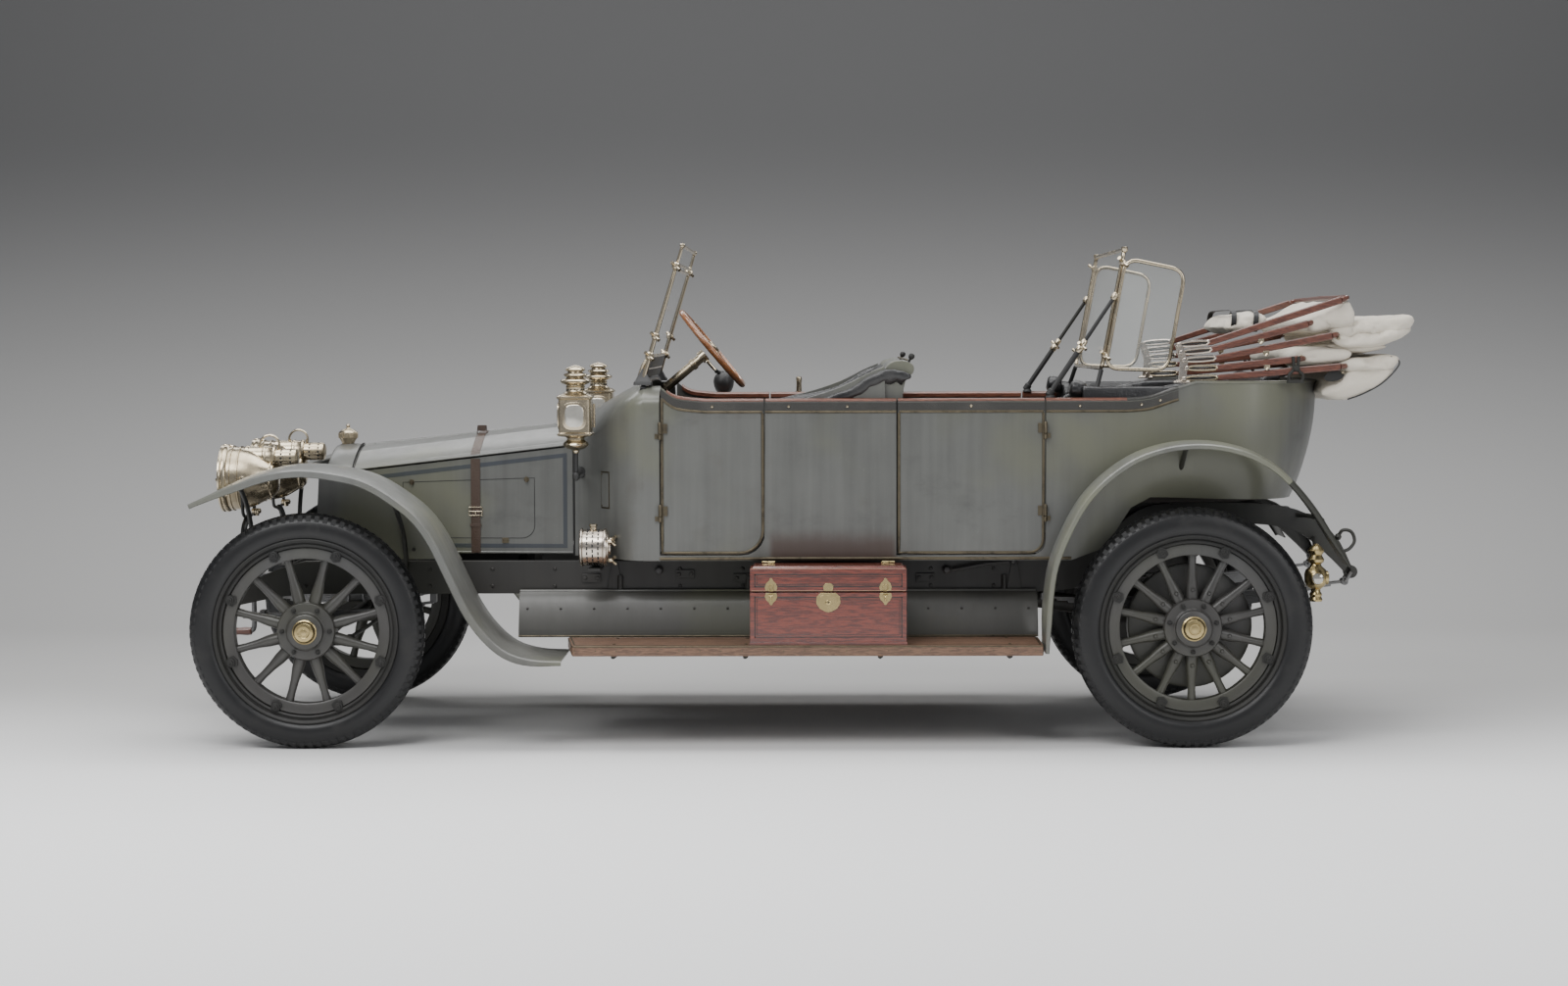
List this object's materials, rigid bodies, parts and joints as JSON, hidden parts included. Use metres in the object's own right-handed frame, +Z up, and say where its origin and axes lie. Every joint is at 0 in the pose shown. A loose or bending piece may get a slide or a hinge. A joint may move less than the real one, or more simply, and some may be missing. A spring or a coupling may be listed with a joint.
{
  "type": "brass era touring car",
  "caption": "Open touring car with wooden artillery wheels, folding bonnet, doors, brass lamps, two glass screens and a folded canvas hood.",
  "frame": {"origin": "on the ground under the middle of the whole car", "axes": "+X forward, +Y to the car's left, +Z up"},
  "size_m": [4.5984, 1.64, 1.8843],
  "materials": {
    "body_paint": "worn satin grey-green paint",
    "chassis_paint": "dull black paint with grease",
    "spring_steel": "dark oiled steel",
    "cast_iron": "plain iron",
    "floor_wood": "dark boards",
    "leather": "black buttoned leather",
    "brass": "polished brass and nickel",
    "glass": "clear plate glass",
    "bow_wood": "polished red-brown bows",
    "canvas": "cream hood canvas",
    "box_wood": "polished dark red wood",
    "rubber": "black rubber",
    "rim_wood": "varnished rim",
    "wheel_wood": "dark grey painted wood and steel",
    "tyre": "black tyre"
  },
  "bodies": {
    "car": {"frame_rails": "chassis_paint", "front_axle": "chassis_paint", "rear_axle": "chassis_paint", "leaf_springs": "spring_steel", "engine_block": "cast_iron", "radiator": "body_paint", "cowl": "body_paint", "floor": "floor_wood", "tub": "body_paint", "front_seat_shell": "body_paint", "front_seat_pads": "leather", "rear_seat_pads": "leather", "steering_column": "brass", "screen_frames": "brass", "screen_glass": "glass", "hood_bows": "bow_wood", "hood_canvas": "canvas", "front_wings": "body_paint", "rear_wings": "body_paint", "running_boards": "body_paint", "tool_box": "box_wood", "lamps": "brass", "hand_levers": "chassis_paint", "starting_handle": "spring_steel"},
    "tool_box_lid": {"tool_box_lid": "box_wood"},
    "bonnet_top_left": {"bonnet_top_left": "body_paint"},
    "bonnet_top_right": {"bonnet_top_right": "body_paint"},
    "bonnet_side_left": {"bonnet_side_left": "body_paint"},
    "bonnet_side_right": {"bonnet_side_right": "body_paint"},
    "front_door_left": {"front_door_left": "body_paint"},
    "front_door_right": {"front_door_right": "body_paint", "horn_bulb": "rubber"},
    "rear_door_left": {"rear_door_left": "body_paint"},
    "rear_door_right": {"rear_door_right": "body_paint"},
    "knuckle_left": {"knuckle_left": "chassis_paint"},
    "knuckle_right": {"knuckle_right": "chassis_paint"},
    "steering_wheel": {"steering_wheel": "rim_wood"},
    "tie_rod": {"tie_rod": "chassis_paint"},
    "front_wheel_left": {"front_wheel_left": "wheel_wood", "front_tyre_left": "tyre"},
    "front_wheel_right": {"front_wheel_right": "wheel_wood", "front_tyre_right": "tyre"},
    "rear_wheel_left": {"rear_wheel_left": "wheel_wood", "rear_tyre_left": "tyre"},
    "rear_wheel_right": {"rear_wheel_right": "wheel_wood", "rear_tyre_right": "tyre"}
  },
  "joints": [
    {"name": "steering", "type": "hinge", "parent": "car", "child": "knuckle_left", "pos_m": [1.86, 0.6, 0.44], "axis": [0, 0, 1], "range_deg": [-28, 28]},
    {"name": "steering_right", "type": "hinge", "parent": "car", "child": "knuckle_right", "pos_m": [1.86, -0.6, 0.44], "axis": [0, 0, 1], "range_deg": [-28, 28]},
    {"name": "tie_rod_pivot", "type": "hinge", "parent": "knuckle_left", "child": "tie_rod", "pos_m": [1.72, 0.6, 0.4], "axis": [0, 0, 1], "range_deg": [-28, 28]},
    {"name": "steering_wheel_turn", "type": "hinge", "parent": "car", "child": "steering_wheel", "pos_m": [0.38, -0.28, 1.483], "axis": [-0.766, 0, 0.6428], "range_deg": [-364, 364]},
    {"name": "front_wheel_left_spin", "type": "hinge", "parent": "knuckle_left", "child": "front_wheel_left", "pos_m": [1.86, 0.71, 0.44], "axis": [0, 1, 0], "continuous": true},
    {"name": "rear_wheel_left_spin", "type": "hinge", "parent": "car", "child": "rear_wheel_left", "pos_m": [-1.44, 0.71, 0.4475], "axis": [0, 1, 0], "continuous": true},
    {"name": "front_door_left_swing", "type": "hinge", "parent": "car", "child": "front_door_left", "pos_m": [0.543, 0.629, 1], "axis": [0, 0, -1], "range_deg": [0, 75]},
    {"name": "rear_door_left_swing", "type": "hinge", "parent": "car", "child": "rear_door_left", "pos_m": [-0.901, 0.629, 1], "axis": [0, 0, 1], "range_deg": [0, 75]},
    {"name": "bonnet_top_left_lift", "type": "hinge", "parent": "car", "child": "bonnet_top_left", "pos_m": [1.326, 0, 1.149], "axis": [0.9943, 0, -0.1064], "range_deg": [0, 60]},
    {"name": "bonnet_side_left_fold", "type": "hinge", "parent": "bonnet_top_left", "child": "bonnet_side_left", "pos_m": [1.326, 0.3045, 1.068], "axis": [0.9902, -0.0794, -0.1151], "range_deg": [-30, 0]},
    {"name": "front_wheel_right_spin", "type": "hinge", "parent": "knuckle_right", "child": "front_wheel_right", "pos_m": [1.86, -0.71, 0.44], "axis": [0, 1, 0], "continuous": true},
    {"name": "rear_wheel_right_spin", "type": "hinge", "parent": "car", "child": "rear_wheel_right", "pos_m": [-1.44, -0.71, 0.4475], "axis": [0, 1, 0], "continuous": true},
    {"name": "front_door_right_swing", "type": "hinge", "parent": "car", "child": "front_door_right", "pos_m": [0.543, -0.629, 1], "axis": [0, 0, 1], "range_deg": [0, 75]},
    {"name": "rear_door_right_swing", "type": "hinge", "parent": "car", "child": "rear_door_right", "pos_m": [-0.901, -0.629, 1], "axis": [0, 0, -1], "range_deg": [0, 75]},
    {"name": "bonnet_top_right_lift", "type": "hinge", "parent": "car", "child": "bonnet_top_right", "pos_m": [1.326, 0, 1.149], "axis": [-0.9943, 0, 0.1064], "range_deg": [0, 60]},
    {"name": "bonnet_side_right_fold", "type": "hinge", "parent": "bonnet_top_right", "child": "bonnet_side_right", "pos_m": [1.326, -0.3045, 1.068], "axis": [-0.9902, -0.0794, 0.1151], "range_deg": [-30, 0]},
    {"name": "tool_box_lid_lift", "type": "hinge", "parent": "car", "child": "tool_box_lid", "pos_m": [-0.086, 0.638, 0.686], "axis": [1, 0, 0], "range_deg": [0, 75]}
  ],
  "couplings": [
    {"joint": "steering_right", "follows": "steering", "ratio": 1},
    {"joint": "tie_rod_pivot", "follows": "steering", "ratio": -1},
    {"joint": "steering_wheel_turn", "follows": "steering", "ratio": 13},
    {"joint": "bonnet_side_left_fold", "follows": "bonnet_top_left_lift", "ratio": -0.5},
    {"joint": "bonnet_side_right_fold", "follows": "bonnet_top_right_lift", "ratio": -0.5}
  ]
}
